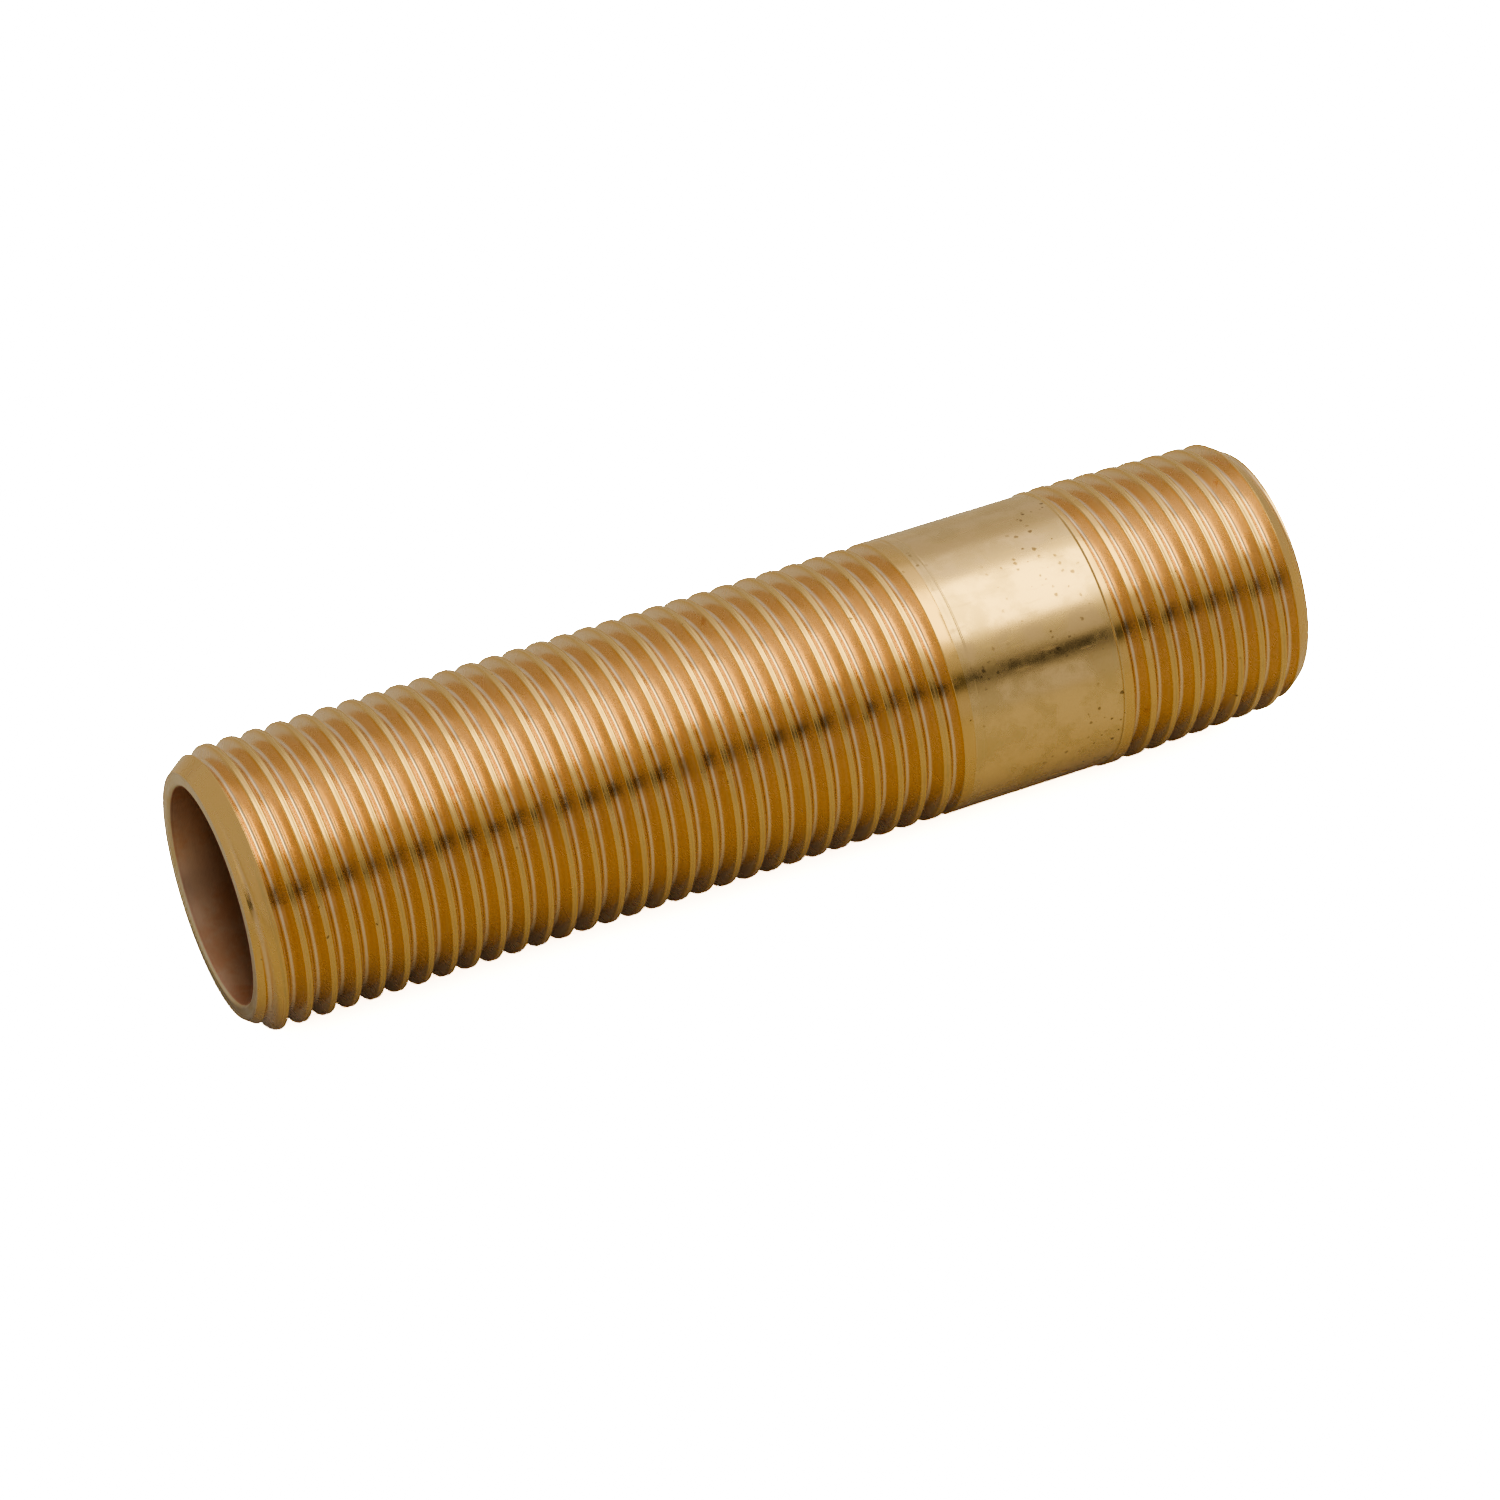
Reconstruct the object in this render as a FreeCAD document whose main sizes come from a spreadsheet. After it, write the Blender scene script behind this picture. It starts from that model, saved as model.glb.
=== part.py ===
"""Long-screw pipe nipple: one piece of brass with a parallel pipe thread on its long end, a short
plain barrel, and a taper pipe thread on its short end, bored right through.

Millimetres. The nipple's axis is the X axis and +Z is up. The origin is on the axis, in the ring
face of the long end, and the nipple runs from there along +X.
"""

import FreeCAD
import Part
import Sketcher
import math
import os

# Lengths run along the axis. Reliefs and depths are measured on the radius.
SIZES = {
    "overall_length": 82.5,
    # Both threads are right-handed, 14 turns an inch, of the 55 degree Whitworth form. The form
    # reaches the major diameter, but the blank is turned thinner first, so the crests are flat.
    "major_diameter": 20.955,
    "thread_pitch": 1.8143,
    "thread_angle": 55.0,
    "crest_relief": 0.1275,
    # From the parallel thread's crests in to the bore.
    "wall_thickness": 2.35,
    # The short end runs from a low shoulder to its face. The plain barrel stands before it.
    "taper_end_length": 15.9,
    "barrel_length": 11.95,
    "barrel_relief": 0.1425,
    # The taper thread's form has the major diameter, and its crests the gauge relief, at the gauge
    # length from the short end's face. Both narrow by 1 in taper_ratio of diameter. The collar
    # is the cylinder next to the shoulder that the taper's crests start from.
    "taper_ratio": 16.0,
    "gauge_length": 8.2,
    "gauge_relief": 0.1525,
    "collar_relief": 0.0075,
    # Each groove grows shallower over its run-out until the tool has left the metal. The parallel
    # thread's run-out ends at the barrel, and the taper thread is whole from here past the shoulder.
    "long_runout_turns": 1.0,
    "short_runout_turns": 0.6,
    "shoulder_to_groove": 1.09,
    # Both ends are chamfered, down to ring faces of one size.
    "chamfer_depth": 1.25,
    "long_end_chamfer": 1.8,
    "short_end_chamfer": 1.6,
    "bore_chamfer": 0.2,
}

# Whitworth form: depth and root rounding as shares of the pitch.
DEPTH_SHARE = 0.640327
ROUNDING_SHARE = 0.137329

# How far a thread tool reaches outside the form, and how far clear of the metal it ends.
TOOL_CLEARANCE = 0.15
RUNOUT_CLEARANCE = 0.05
# Every thread cut takes at least this many cubic millimetres of metal.
LEAST_CUT = 1.0

ORIGIN = (-1, 1)
FIRST_POINT, SECOND_POINT, CENTRE = 1, 2, 3

document = FreeCAD.newDocument("LongScrewNipple")
sheet = document.addObject("Spreadsheet::Sheet", "Sizes")
for row, (alias, value) in enumerate(SIZES.items(), start=1):
    sheet.set(f"A{row}", alias)
    sheet.set(f"B{row}", str(value))
    sheet.setAlias(f"B{row}", alias)
document.recompute()


def rule(text):
    """A formula that may name any size, as the document writes it."""
    for alias in SIZES:
        text = text.replace(f"[{alias}]", f"Sizes.{alias}")
    return text


def number(text):
    """The present value of such a formula."""
    return float(sheet.evalExpression(rule(text)))


def origin_plane(body, role):
    return next(feature for feature in body.Origin.OriginFeatures if feature.Role == role)


def axial_sketch(body, name):
    """A sketch in the XZ plane: its own x runs along the nipple and its y is the radius."""
    sketch = body.newObject("Sketcher::SketchObject", name)
    sketch.AttachmentSupport = (origin_plane(body, "XZ_Plane"), [""])
    sketch.MapMode = "FlatFace"
    return sketch


def bind(sketch, kind, places, text):
    """Adds a dimension to a sketch and ties it to a formula."""
    index = sketch.addConstraint(Sketcher.Constraint(kind, *places, number(text)))
    sketch.setExpression(f"Constraints[{index}]", rule(text))


def straight_spline(start, end):
    """A straight side as a spline of degree one. The sides under the taper thread are drawn so,
    which turns them into spline surfaces, the same kind as that thread's own flanks."""
    curve = Part.BSplineCurve()
    curve.buildFromPolesMultsKnots([start, end], [2, 2], [0, 1], False, 1)
    return curve


def turned_outline(body, name, corners):
    """A closed outline of straight sides. Each corner has two formulas, its x and its radius, and
    the kind of curve that its side to the next corner is."""
    sketch = axial_sketch(body, name)
    spots = [FreeCAD.Vector(number(x), number(radius), 0) for x, radius, _ in corners]
    for index, (_, _, side) in enumerate(corners):
        sketch.addGeometry(side(spots[index], spots[(index + 1) % len(corners)]))
    for index, (x, radius, _) in enumerate(corners):
        before = (index - 1) % len(corners)
        sketch.addConstraint(
            Sketcher.Constraint("Coincident", before, SECOND_POINT, index, FIRST_POINT)
        )
        bind(sketch, "DistanceX", (*ORIGIN, index, FIRST_POINT), x)
        bind(sketch, "DistanceY", (*ORIGIN, index, FIRST_POINT), radius)
    return sketch


ROUNDING = f"{ROUNDING_SHARE} * [thread_pitch]"
DEPTH = f"{DEPTH_SHARE} * [thread_pitch]"
MAJOR = "([major_diameter] / 2)"


def groove_outline(body, name, x, form_radius):
    """One groove of a thread whose form reaches some radius: a rounded root and two flanks that
    run on past the metal to a flat cap."""
    sketch = axial_sketch(body, name)
    half_angle = math.radians(number("[thread_angle] / 2"))
    rounding = number(ROUNDING)
    root_height = f"{form_radius} - {DEPTH} + {ROUNDING}"
    cap_height = f"{form_radius} + {TOOL_CLEARANCE}"
    middle = FreeCAD.Vector(number(x), number(root_height), 0)
    side = rounding * math.cos(half_angle)
    foot = -rounding * math.sin(half_angle)
    rise = number(cap_height) - middle.y
    spread = side + (rise - foot) * math.tan(half_angle)
    circle = Part.Circle(middle, FreeCAD.Vector(0, 0, 1), rounding)
    right_foot = middle + FreeCAD.Vector(side, foot, 0)
    left_foot = middle + FreeCAD.Vector(-side, foot, 0)
    right_top = middle + FreeCAD.Vector(spread, rise, 0)
    left_top = middle + FreeCAD.Vector(-spread, rise, 0)
    root_arc = Part.ArcOfCircle(circle, math.pi + half_angle, 2 * math.pi - half_angle)
    root = sketch.addGeometry(root_arc)
    right_flank = sketch.addGeometry(Part.LineSegment(right_foot, right_top))
    cap = sketch.addGeometry(Part.LineSegment(right_top, left_top))
    left_flank = sketch.addGeometry(Part.LineSegment(left_top, left_foot))
    for kind, *places in (
        ("Tangent", root, SECOND_POINT, right_flank, FIRST_POINT),
        ("Coincident", right_flank, SECOND_POINT, cap, FIRST_POINT),
        ("Coincident", cap, SECOND_POINT, left_flank, FIRST_POINT),
        ("Tangent", left_flank, SECOND_POINT, root, FIRST_POINT),
        ("Horizontal", cap),
        ("Equal", right_flank, left_flank),
    ):
        sketch.addConstraint(Sketcher.Constraint(kind, *places))
    bind(sketch, "Radius", (root,), ROUNDING)
    bind(sketch, "DistanceX", (*ORIGIN, root, CENTRE), x)
    bind(sketch, "DistanceY", (*ORIGIN, root, CENTRE), root_height)
    bind(sketch, "DistanceY", (*ORIGIN, cap, FIRST_POINT), cap_height)
    spread_rule = (
        f"2 * ({ROUNDING} * cos([thread_angle] / 2 * 1 deg)"
        f" + ({DEPTH} - {ROUNDING} + {TOOL_CLEARANCE}"
        f" + {ROUNDING} * sin([thread_angle] / 2 * 1 deg)) * tan([thread_angle] / 2 * 1 deg))"
    )
    bind(sketch, "DistanceX", (cap, SECOND_POINT, cap, FIRST_POINT), spread_rule)
    return sketch


def cut_thread(body, name, groove, turns, growth, backwards=False):
    """Sweeps a groove right-handed about the axis. Growth is the radius gained in each turn."""
    before = body.Shape.Volume
    helix = body.newObject("PartDesign::SubtractiveHelix", name)
    helix.Profile = groove
    helix.ReferenceAxis = (groove, ["H_Axis"])
    helix.Mode = "height-turns-growth"
    helix.LeftHanded = False
    helix.Reversed = backwards
    helix.Refine = False
    helix.setExpression("Turns", rule(turns))
    helix.setExpression("Height", rule(f"({turns}) * [thread_pitch] * 1 mm"))
    helix.setExpression("Growth", rule(f"({growth}) * 1 mm"))
    document.recompute()
    if before - helix.Shape.Volume < LEAST_CUT:
        raise RuntimeError(f"{name} cut nothing")


def tapered(radius, x):
    """What a radius given at the gauge length from the short end has become at some x."""
    past_gauge = f"([overall_length] - [gauge_length] - ({x}))"
    return f"({radius} + {past_gauge} / (2 * [taper_ratio]))"


body = document.addObject("PartDesign::Body", "nipple_body")
body.Label = "nipple_body"

CREST = f"({MAJOR} - [crest_relief])"
BORE = f"{CREST} - [wall_thickness]"
BORE_MOUTH = f"{BORE} + [bore_chamfer]"
FACE = f"{CREST} - [chamfer_depth]"
BARREL = f"{MAJOR} - [barrel_relief]"
COLLAR = f"{MAJOR} - [collar_relief]"
SHOULDER = "([overall_length] - [taper_end_length])"
BARREL_START = f"({SHOULDER} - [barrel_length])"
CONE_START = (
    "[overall_length] - [gauge_length]"
    " - ([gauge_relief] - [collar_relief]) * 2 * [taper_ratio]"
)
CONE_END = "[overall_length] - [short_end_chamfer]"
blank = turned_outline(
    body,
    "blank_outline",
    (
        ("0", BORE_MOUTH, Part.LineSegment),
        ("0", FACE, Part.LineSegment),
        ("[long_end_chamfer]", CREST, Part.LineSegment),
        (BARREL_START, CREST, Part.LineSegment),
        (BARREL_START, BARREL, Part.LineSegment),
        (SHOULDER, BARREL, Part.LineSegment),
        (SHOULDER, COLLAR, straight_spline),
        (CONE_START, COLLAR, straight_spline),
        (CONE_END, tapered(f"{MAJOR} - [gauge_relief]", CONE_END), straight_spline),
        ("[overall_length]", FACE, Part.LineSegment),
        ("[overall_length]", BORE_MOUTH, Part.LineSegment),
        ("[overall_length] - [bore_chamfer]", BORE, Part.LineSegment),
        ("[bore_chamfer]", BORE, Part.LineSegment),
    ),
)
document.recompute()
turned = body.newObject("PartDesign::Revolution", "turned_blank")
turned.Profile = blank
turned.ReferenceAxis = (blank, ["H_Axis"])
turned.Angle = 360
document.recompute()

# The parallel thread is swept from off the long end to its last whole groove, then runs out.
LAST_WHOLE = f"({BARREL_START} - [long_runout_turns] * [thread_pitch])"
LONG_TURNS = f"(ceil({LAST_WHOLE} / [thread_pitch]) + 1)"
LONG_START = f"{LAST_WHOLE} - {LONG_TURNS} * [thread_pitch]"
groove = groove_outline(body, "long_groove", LONG_START, MAJOR)
cut_thread(body, "long_thread", groove, LONG_TURNS, "0")
groove = groove_outline(body, "long_runout_groove", LAST_WHOLE, MAJOR)
rise = f"({DEPTH} - [crest_relief] + {RUNOUT_CLEARANCE})"
growth = f"{rise} / [long_runout_turns]"
cut_thread(body, "long_thread_runout", groove, "[long_runout_turns]", growth)

# The taper thread is swept from its first whole groove out past the short end, and its run-out
# is swept back from there towards the barrel.
FIRST_WHOLE = f"({SHOULDER} + [shoulder_to_groove])"
SHORT_TURNS = f"ceil(([overall_length] - {FIRST_WHOLE}) / [thread_pitch]) + 1"
SHORT_FORM = tapered(MAJOR, FIRST_WHOLE)
groove = groove_outline(body, "short_groove", FIRST_WHOLE, SHORT_FORM)
cut_thread(body, "short_thread", groove, SHORT_TURNS, "-[thread_pitch] / (2 * [taper_ratio])")
groove = groove_outline(body, "short_runout_groove", FIRST_WHOLE, SHORT_FORM)
rise = f"({COLLAR} - {SHORT_FORM} + {DEPTH} + {RUNOUT_CLEARANCE})"
growth = f"{rise} / [short_runout_turns]"
cut_thread(body, "short_thread_runout", groove, "[short_runout_turns]", growth, backwards=True)

for item in document.Objects:
    if "Invalid" in item.State or "Error" in item.State:
        raise RuntimeError(f"{item.Name} is {item.State}")

shape = body.Shape
if shape.isNull() or not shape.isValid() or len(shape.Solids) != 1:
    raise RuntimeError(f"{body.Label} is not one valid solid")

os.makedirs("parts", exist_ok=True)
shape.exportStep(f"parts/{body.Label}.step")
print(f"{body.Label}: {shape.Volume:.1f} cubic millimetres in {len(shape.Faces)} faces")
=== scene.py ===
"""Long-screw pipe nipple in machined brass, laid out as an add-on.

The nipple's axis is the X axis, with the origin on it in the long end's ring face, and +Z is up.
Everything is in metres in that frame. One closed shell stands for the whole nipple: a parallel
thread, a short plain barrel, a taper thread, two chamfered ends and the bore.
"""

import math

import bpy
import numpy as np
from bpy.props import FloatProperty, FloatVectorProperty, IntProperty, PointerProperty
from mathutils import Matrix, Vector


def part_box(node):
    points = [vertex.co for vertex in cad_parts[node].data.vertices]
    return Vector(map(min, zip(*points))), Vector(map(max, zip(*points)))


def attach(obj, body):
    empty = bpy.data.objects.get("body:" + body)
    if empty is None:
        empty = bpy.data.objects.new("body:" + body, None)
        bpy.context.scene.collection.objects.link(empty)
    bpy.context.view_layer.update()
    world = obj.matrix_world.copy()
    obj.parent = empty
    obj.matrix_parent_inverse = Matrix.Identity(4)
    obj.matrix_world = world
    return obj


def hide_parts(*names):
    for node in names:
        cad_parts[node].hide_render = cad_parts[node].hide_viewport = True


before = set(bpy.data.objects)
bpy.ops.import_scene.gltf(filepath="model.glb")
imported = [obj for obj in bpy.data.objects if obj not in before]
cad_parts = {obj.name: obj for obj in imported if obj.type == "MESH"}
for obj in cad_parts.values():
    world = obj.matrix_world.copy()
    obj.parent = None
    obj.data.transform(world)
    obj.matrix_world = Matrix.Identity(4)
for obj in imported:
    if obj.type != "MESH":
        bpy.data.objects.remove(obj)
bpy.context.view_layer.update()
BODY_LOW, BODY_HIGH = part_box("nipple_body")

bl_info = {
    "name": "Long-screw pipe nipple",
    "version": (1, 0, 0),
    "blender": (4, 5, 0),
    "location": "3D View > Sidebar > Nipple",
    "description": "Models a machined brass pipe nipple with a parallel and a taper thread",
    "category": "Add Mesh",
}

MM = 0.001
# The form of the thread: its depth and the rounding of its root as shares of the pitch.
DEPTH_SHARE = 0.640327
ROUNDING_SHARE = 0.145
# Rows of a thread grid: shares of the way over a root's rounding, up a flank and across a crest,
# and how far the rows to either side of an edge lie from it.
ROOT_ROWS = (0.5, 1.0)
FLANK_ROW = 0.5
CREST_ROWS = (0.3, 0.5, 0.7)
EDGE_STEP = 0.045 * MM
# How far the points that ease a turned corner lie from it: on the outside, and in the bore.
CORNER_STEP = 0.04 * MM
CORNER_EASE = 0.02 * MM
# A run-out is complete when the groove's bottom is this far out of the metal.
CLEAR_OF_METAL = 0.05 * MM
# How far the grooves' depth drifts along a thread.
DRIFT = 0.008 * MM
# How far a furrow reaches from a crest's middle, as a share of the crest's width. It is full on
# crests up to the first width and gone from the second.
FURROW_REACH = 0.15
FURROW_WIDTHS = (0.6 * MM, 0.9 * MM)
# The camera's place and the way it looks. How far the floor reaches, and the black flag card's
# ends along the nipple, its foot and head, and its place in front.
CAMERA_SPOT = (-0.091238, -0.285266, 0.287813)
CAMERA_AHEAD = (0.3105, 0.6665, -0.6778)
FLOOR_REACH = 3.0
FLAG_SPAN = (-1.0, 1.2)
FLAG_HEIGHTS = (0.325, 0.57)
FLAG_DEPTH = -0.8
# Points are matched to this fineness where the grids meet.
MATCH_STEP = 2e-5 * MM
# The nipple's material numbers.
THREAD, BARREL, FACE, BORE = range(4)
# Finish values of each point: how deep it lies in a groove, in millimetres, and how far down a
# crest's furrow, 0 to 1. Both are 0 on a plain face.
FINISH_VALUES = ("groove_depth", "furrow")


def length(name, description, default):
    return FloatProperty(
        name=name, description=description, default=default, unit="LENGTH", precision=5
    )


def share(name, description, default):
    return FloatProperty(
        name=name, description=description, default=default, min=0.0, max=1.0, subtype="FACTOR"
    )


def colour(name, description, default):
    return FloatVectorProperty(
        name=name, description=description, default=default, size=3, min=0.0, max=1.0,
        subtype="COLOR",
    )


class NippleSizes(bpy.types.PropertyGroup):
    """The nipple's real sizes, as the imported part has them."""

    overall_length: length("Overall length", "From ring face to ring face", BODY_HIGH.x)
    major_diameter: length("Major diameter", "Of the full thread form", 20.955 * MM)
    pitch: length("Pitch", "Of both threads, 14 turns an inch", 1.8143 * MM)
    flank_angle: FloatProperty(
        name="Flank angle", description="Between the two flanks of a groove",
        default=math.radians(55), subtype="ANGLE",
    )
    crest_radius: length("Crest radius", "Of the parallel thread's flat crests", 10.35 * MM)
    barrel_radius: length("Barrel radius", "Of the plain barrel", 10.335 * MM)
    collar_radius: length("Collar radius", "Of the shoulder beside the barrel", 10.468 * MM)
    face_radius: length("Face radius", "Outside of both ring faces", 9.1 * MM)
    bore_radius: length("Bore radius", "Of the bore", 8.0 * MM)
    bore_chamfer: length("Bore chamfer", "Of the bore's mouths", 0.2 * MM)
    barrel_start: length("Barrel start", "Where the parallel thread's crests end", 54.65 * MM)
    shoulder: length("Shoulder", "Where the barrel meets the collar", 66.6 * MM)
    cone_start: length("Cone start", "Where the taper thread's crests leave the collar", 69.66 * MM)
    long_chamfer: length("Long end's chamfer", "Its length along the axis", 1.8 * MM)
    short_chamfer: length("Short end's chamfer", "Its length along the axis", 1.6 * MM)
    gauge_length: length("Gauge length", "From the short end to the gauge plane", 8.2 * MM)
    cone_crest: length("Cone crest radius", "Of the taper thread at the gauge plane", 10.325 * MM)
    first_taper_groove: length("First taper groove", "Its middle, at the nipple's top", 67.69 * MM)
    edge_rounding: length("Edge rounding", "Of the crest edges", 0.09 * MM)
    furrow_depth: length("Furrow depth", "Of the furrow along each crest", 0.014 * MM)
    columns: IntProperty(name="Columns", description="Grid columns round the nipple", default=128)


class BrassFinish(bpy.types.PropertyGroup):
    """The brass's colours and finish."""

    brass: colour("Brass", "Clean machined brass", (0.87, 0.605, 0.285))
    crest: colour("Crest brass", "Brass on the threads' crests", (0.80, 0.52, 0.20))
    furrow: colour("Furrow brass", "Dulled brass in the crests' furrows", (0.66, 0.47, 0.21))
    groove: colour("Groove brass", "Brass in the grooves", (0.845, 0.614, 0.372))
    red_stain: colour("Red stain", "Copper-red spots in the grooves", (0.60, 0.27, 0.11))
    dark_speck: colour("Dark specks", "Specks of dried cutting oil", (0.16, 0.10, 0.055))
    face: colour("Faced brass", "Brass of the ring faces", (0.70, 0.555, 0.37))
    bore: colour("Bore brass", "Dull brass in the bore", (0.66, 0.45, 0.31))
    polish: share("Polish roughness", "Roughness of bright brass", 0.26)
    dullness: share("Dull roughness", "Roughness of the furrows and the bore", 0.38)


class StudioLook(bpy.types.PropertyGroup):
    """The floor and the lights."""

    floor: colour("Floor", "The floor as the brass reflects it", (0.58, 0.57, 0.56))
    floor_glare: FloatProperty(
        name="Floor glare", description="How many times brighter the floor is seen", default=65.0
    )
    key_power: FloatProperty(
        name="Overhead light", description="Power of the soft box overhead", default=1.85,
        unit="POWER",
    )
    back_power: FloatProperty(
        name="Back light", description="Power of the soft box behind", default=0.35, unit="POWER"
    )
    key_tint: colour("Overhead tint", "The overhead light's colour", (1.0, 0.93, 0.55))
    surround: share("Surround", "Brightness of the room around", 0.45)


# ---------------------------------------------------------------------------------- the surface


def soft_minimum(a, b, blend):
    """The lower of two heights. Where they differ by less than blend, a parabola joins them, so
    the edge they make is rounded."""
    mix = np.clip(0.5 + 0.5 * (b - a) / blend, 0.0, 1.0)
    return b * (1 - mix) + a * mix - blend * mix * (1 - mix)


def groove_height(offset, sizes):
    """Height above a groove's bottom at some distance along the axis from its middle: an arc of
    the root's rounding, then a straight flank at half the flank angle from the radius."""
    rounding = ROUNDING_SHARE * sizes.pitch
    half = sizes.flank_angle / 2
    foot = rounding * math.cos(half)
    away = np.abs(offset)
    arc = rounding - np.sqrt(np.maximum(rounding**2 - away**2, 0.0))
    flank = rounding * (1 - math.sin(half)) + (away - foot) / math.tan(half)
    return np.where(away < foot, arc, flank)


def blank_corners(sizes):
    """The turned blank's outline under the threads, as x and radius."""
    end, face, step = sizes.overall_length, sizes.face_radius, CORNER_STEP
    cone_end = end - sizes.short_chamfer
    return np.array(
        [
            (0.0, face - step),
            (0.75 * step, face),
            (sizes.long_chamfer - step, sizes.crest_radius - step * 0.45),
            (sizes.long_chamfer + step, sizes.crest_radius),
            (sizes.barrel_start - step, sizes.crest_radius),
            (sizes.barrel_start + step, sizes.barrel_radius),
            (sizes.shoulder - step * 0.5, sizes.barrel_radius),
            (sizes.shoulder + step * 0.5, sizes.collar_radius - step),
            (sizes.shoulder + step * 1.8, sizes.collar_radius),
            (sizes.cone_start, sizes.collar_radius),
            (cone_end - step, cone_radius(cone_end, sizes)),
            (cone_end + step, cone_radius(cone_end, sizes) - step * 0.55),
            (end - 0.75 * step, face),
            (end, face - step),
        ]
    )


def cone_radius(x, sizes):
    """The taper thread's crest: 1 in 16 on the diameter, given at the gauge plane."""
    return sizes.cone_crest + (sizes.overall_length - sizes.gauge_length - x) / 32


def blank_radius(x, sizes):
    """The blank's radius at x, on the straight sides between its corners."""
    corners = blank_corners(sizes)
    return np.interp(x, corners[:, 0], corners[:, 1])


def parallel_groove(turn, sizes):
    """Middle and bottom of the parallel thread's groove. Turn is 0 where its run-out starts, at
    the nipple's top, and the bottom rises evenly out of the metal over the next turn."""
    whole = sizes.barrel_start - sizes.pitch
    bottom = sizes.major_diameter / 2 - DEPTH_SHARE * sizes.pitch
    rise = sizes.crest_radius - bottom + CLEAR_OF_METAL
    return whole + sizes.pitch * turn, bottom + rise * np.clip(turn, 0.0, 2.0)


def taper_groove(turn, sizes):
    """Middle and bottom of the taper thread's groove. The bottom falls 1 in 32 along the axis, and
    rises out of the metal over six tenths of a turn back from turn 0 towards the barrel."""
    x = sizes.first_taper_groove + sizes.pitch * turn
    gauge = sizes.overall_length - sizes.gauge_length
    form = sizes.major_diameter / 2 + (gauge - x) / 32
    bottom = form - DEPTH_SHARE * sizes.pitch
    rise = sizes.collar_radius - bottom + CLEAR_OF_METAL
    return x, bottom + rise * np.clip(-turn / 0.6, 0.0, 2.0)


def wander(turn, amount):
    """An uneven drift along the thread: three sines, the longest of which takes most of a turn,
    and whose periods share no common multiple."""
    return amount * (
        0.5 * np.sin(turn * 7.31 + 0.4)
        + 0.3 * np.sin(turn * 17.9 + 2.1)
        + 0.2 * np.sin(turn * 41.3 + 5.0)
    )


def half_width(turn, side, groove, sizes):
    """How far a groove's edge lies from its middle, on the side given as -1 or 1: where the flank
    meets the blank. Each pass moves the edge to where the flank has the blank's height there."""
    middle, bottom = groove(turn, sizes)
    half = sizes.flank_angle / 2
    rounding = ROUNDING_SHARE * sizes.pitch
    foot = rounding * math.cos(half)
    lift = rounding * (1 - math.sin(half))
    narrowest, widest = 0.11 * MM, 0.385 * sizes.pitch
    width = np.full_like(middle, 0.38 * sizes.pitch)
    for _ in range(12):
        depth = blank_radius(middle + side * width, sizes) - bottom
        wanted = foot + (depth - lift) * math.tan(half)
        width = 0.5 * (width + np.clip(wanted, narrowest, widest))
    return width


def shell_radius(x, turn_of, groove, sizes):
    """The outer surface's radius at x, the blank's radius there, and how far down a furrow the
    place is, where turn_of is the part of a turn that the column stands at. The surface is the
    soft minimum of the blank and the nearest grooves, less a shallow furrow along the middle of
    each narrow crest: a bell curve over the share of the way across it."""
    blank = blank_radius(x, sizes)
    nearest = np.round((x - groove(np.zeros(1), sizes)[0]) / sizes.pitch - turn_of) + turn_of
    radius = blank
    insets = []
    for step in (-1, 0, 1):
        turn = nearest + step
        middle, bottom = groove(turn, sizes)
        height = bottom + groove_height(x - middle, sizes) + wander(turn, DRIFT)
        radius = soft_minimum(radius, height, sizes.edge_rounding)
        insets.append((height - blank) * math.tan(sizes.flank_angle / 2))
    near, next_near = np.sort(np.stack(insets), axis=0)[:2]
    width = np.maximum(near + next_near, 0.01 * MM)
    across = 0.5 - np.clip(near / width, 0.0, 0.5)
    full, gone = FURROW_WIDTHS
    narrow = np.clip((gone - width) / (gone - full), 0.0, 1.0)
    threaded = (x < sizes.barrel_start) | (x > sizes.cone_start)
    furrow = np.exp(-((across / FURROW_REACH) ** 2)) * narrow * threaded
    return radius - sizes.furrow_depth * furrow, blank, furrow


class ThreadGrid:
    """A grid whose rows follow a thread. A row keeps its place across the groove and climbs one
    pitch in each turn, so the last column meets the first one a pitch further on."""

    def __init__(self, groove, turns, limits, sizes):
        first, last = turns
        count = sizes.columns
        part = np.arange(count) / count
        turn = part[:, None] + np.arange(first, last + 1)[None, :]
        middle, _ = groove(turn, sizes)
        left = half_width(turn, -1, groove, sizes)
        right = half_width(turn, 1, groove, sizes)
        next_left = middle + sizes.pitch - half_width(turn + 1, -1, groove, sizes)
        rows = groove_rows(left, right, sizes)
        places = [middle + row for row in rows]
        edge = middle + right
        gap = next_left - edge
        crest = gap - 2 * EDGE_STEP
        places += [edge + EDGE_STEP + part_way * crest for part_way in (0.0, *CREST_ROWS)]
        places.append(next_left - EDGE_STEP)
        self.per_turn = len(places)
        x = np.stack(places, axis=-1).reshape(count, -1)
        self.x = np.clip(x, *limits)
        self.angle = np.broadcast_to(math.pi / 2 + 2 * math.pi * part[:, None], self.x.shape)


def groove_rows(left, right, sizes):
    """Distances from a groove's middle, in order from just left of its left edge to its right
    edge, that follow its root, its flanks and its two edges."""
    foot = ROUNDING_SHARE * sizes.pitch * math.cos(sizes.flank_angle / 2)

    def side(width):
        base = np.minimum(foot, 0.55 * width)
        step = np.minimum(EDGE_STEP, 0.15 * width)
        root = [part_way * base for part_way in ROOT_ROWS]
        return root + [base + FLANK_ROW * (width - base), width - step, width]

    return [-row for row in reversed(side(left))] + [0 * left] + side(right)


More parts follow.
